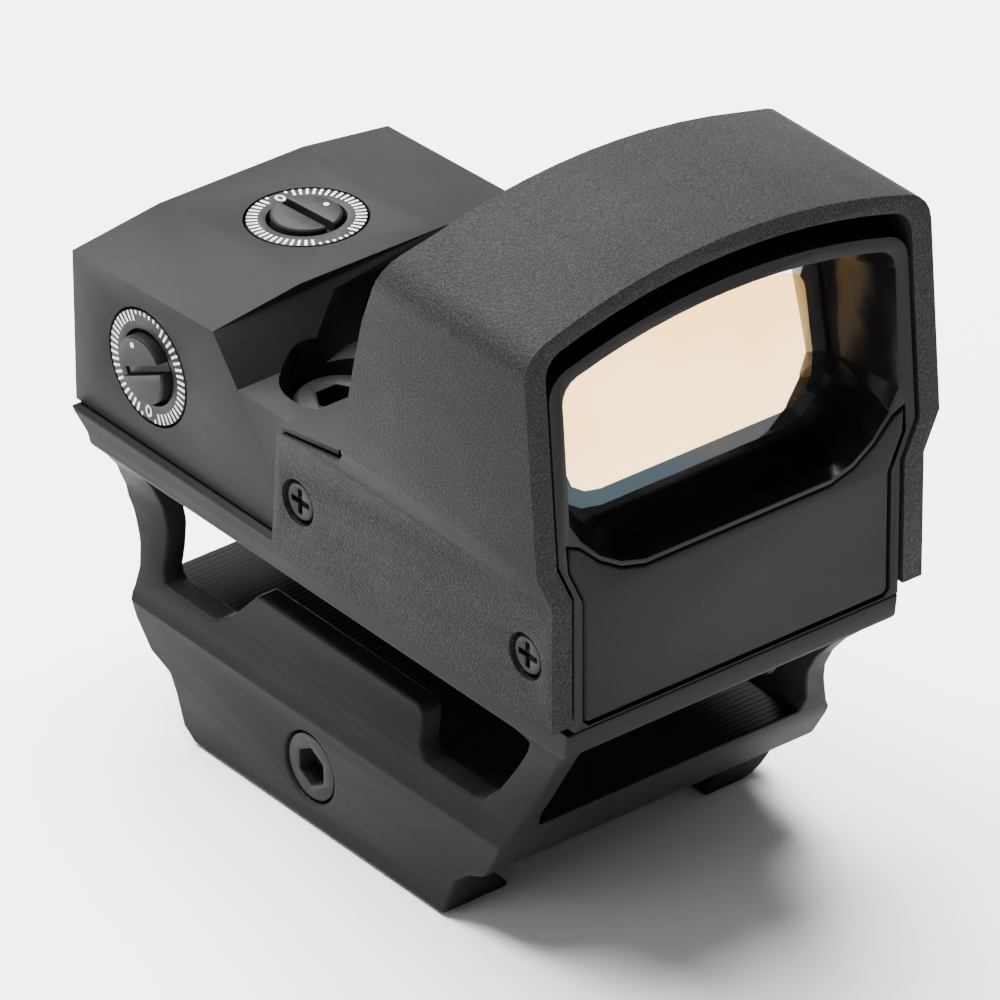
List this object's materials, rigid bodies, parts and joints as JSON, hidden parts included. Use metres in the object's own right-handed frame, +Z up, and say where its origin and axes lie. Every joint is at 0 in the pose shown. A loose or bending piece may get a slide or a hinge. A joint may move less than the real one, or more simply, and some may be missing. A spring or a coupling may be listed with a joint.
{
  "type": "red dot sight",
  "caption": "Compact reflex red dot sight with a protective hood and a coated window, on a skeleton riser with a screw-clamped rail jaw.",
  "frame": {"origin": "under the middle of the whole object, on the plane of the two rail jaws' lower faces", "axes": "+Z up, -Y out of the window towards what is looked at, +X to the side of the moving jaw and the brightness buttons"},
  "size_m": [0.034, 0.0546, 0.0527],
  "materials": {
    "anodised_black": "fine matte black anodising",
    "textured_coat": "sand-textured matte black coat",
    "satin_dial": "satin dark anodising",
    "dark_steel": "black oxide, satin",
    "bright_steel": "bright",
    "coated_glass": "amber reflective coating",
    "black_rubber": "matte",
    "green_board": "solder mask",
    "black_plastic": "matte",
    "red_clear": "clear red dome"
  },
  "bodies": {
    "sight_body": {"main_housing": "anodised_black", "riser_mount": "anodised_black", "front_cover_plate": "anodised_black", "bottom_cover": "anodised_black", "hood_shield": "textured_coat", "hood_screw_rear_right": "dark_steel", "hood_screw_rear_left": "dark_steel", "hood_screw_front_right": "dark_steel", "hood_screw_front_left": "dark_steel", "mount_screw_right": "dark_steel", "mount_screw_left": "dark_steel", "objective_lens": "coated_glass", "lens_gasket": "black_rubber", "elevation_dial_ring": "satin_dial", "windage_dial_ring": "satin_dial", "elevation_o_ring": "black_rubber", "windage_o_ring": "black_rubber", "elevation_spring": "bright_steel", "windage_spring": "bright_steel", "circuit_board": "green_board", "switch_board": "green_board", "coin_cell": "bright_steel", "battery_contact_positive": "bright_steel", "battery_contact_negative": "bright_steel", "tact_switch_up": "black_plastic", "tact_switch_down": "black_plastic"},
    "elevation_adjuster": {"elevation_screw": "dark_steel", "elevation_clip": "bright_steel"},
    "elevation_carriage": {"elevation_slider": "satin_dial"},
    "windage_adjuster": {"windage_screw": "dark_steel", "windage_clip": "bright_steel"},
    "emitter_carriage": {"emitter_holder": "satin_dial", "led_emitter": "red_clear"},
    "brightness_up": {"button_up": "black_rubber"},
    "brightness_down": {"button_down": "black_rubber"},
    "clamp_bolt": {"clamp_screw": "dark_steel"},
    "rail_jaw": {"clamp_jaw": "anodised_black"}
  },
  "joints": [
    {"name": "elevation_turn", "type": "hinge", "parent": "sight_body", "child": "elevation_adjuster", "pos_m": [0, 0.0189, 0.0263], "axis": [0, 0, 1], "range_deg": [-360, 360]},
    {"name": "elevation_travel", "type": "slide", "parent": "sight_body", "child": "elevation_carriage", "axis": [0, 0, 1], "range_m": [-0.0005, 0.0005], "deforming": ["elevation_spring"]},
    {"name": "windage_turn", "type": "hinge", "parent": "sight_body", "child": "windage_adjuster", "pos_m": [-0.0143, 0.01896, 0.0272], "axis": [1, 0, 0], "range_deg": [-360, 360]},
    {"name": "windage_travel", "type": "slide", "parent": "elevation_carriage", "child": "emitter_carriage", "axis": [1, 0, 0], "range_m": [-0.0005, 0.0005], "deforming": ["windage_spring"]},
    {"name": "brightness_up_press", "type": "slide", "parent": "sight_body", "child": "brightness_up", "axis": [-1, 0, 0], "range_m": [0, 0.0005], "stiffness_N_per_m": 400, "springref_m": -0.0005},
    {"name": "brightness_down_press", "type": "slide", "parent": "sight_body", "child": "brightness_down", "axis": [-1, 0, 0], "range_m": [0, 0.0005], "stiffness_N_per_m": 400, "springref_m": -0.0005},
    {"name": "clamp_turn", "type": "hinge", "parent": "sight_body", "child": "clamp_bolt", "pos_m": [-0.0141, 0.00076, 0.00443], "axis": [1, 0, 0], "range_deg": [-1440, 0]},
    {"name": "clamp_travel", "type": "slide", "parent": "sight_body", "child": "rail_jaw", "axis": [1, 0, 0], "range_m": [0, 0.0028]}
  ],
  "couplings": [
    {"joint": "elevation_turn", "follows": "elevation_travel", "rad_per_m": -12566},
    {"joint": "windage_turn", "follows": "windage_travel", "rad_per_m": -12566},
    {"joint": "clamp_turn", "follows": "clamp_travel", "rad_per_m": -8975}
  ]
}
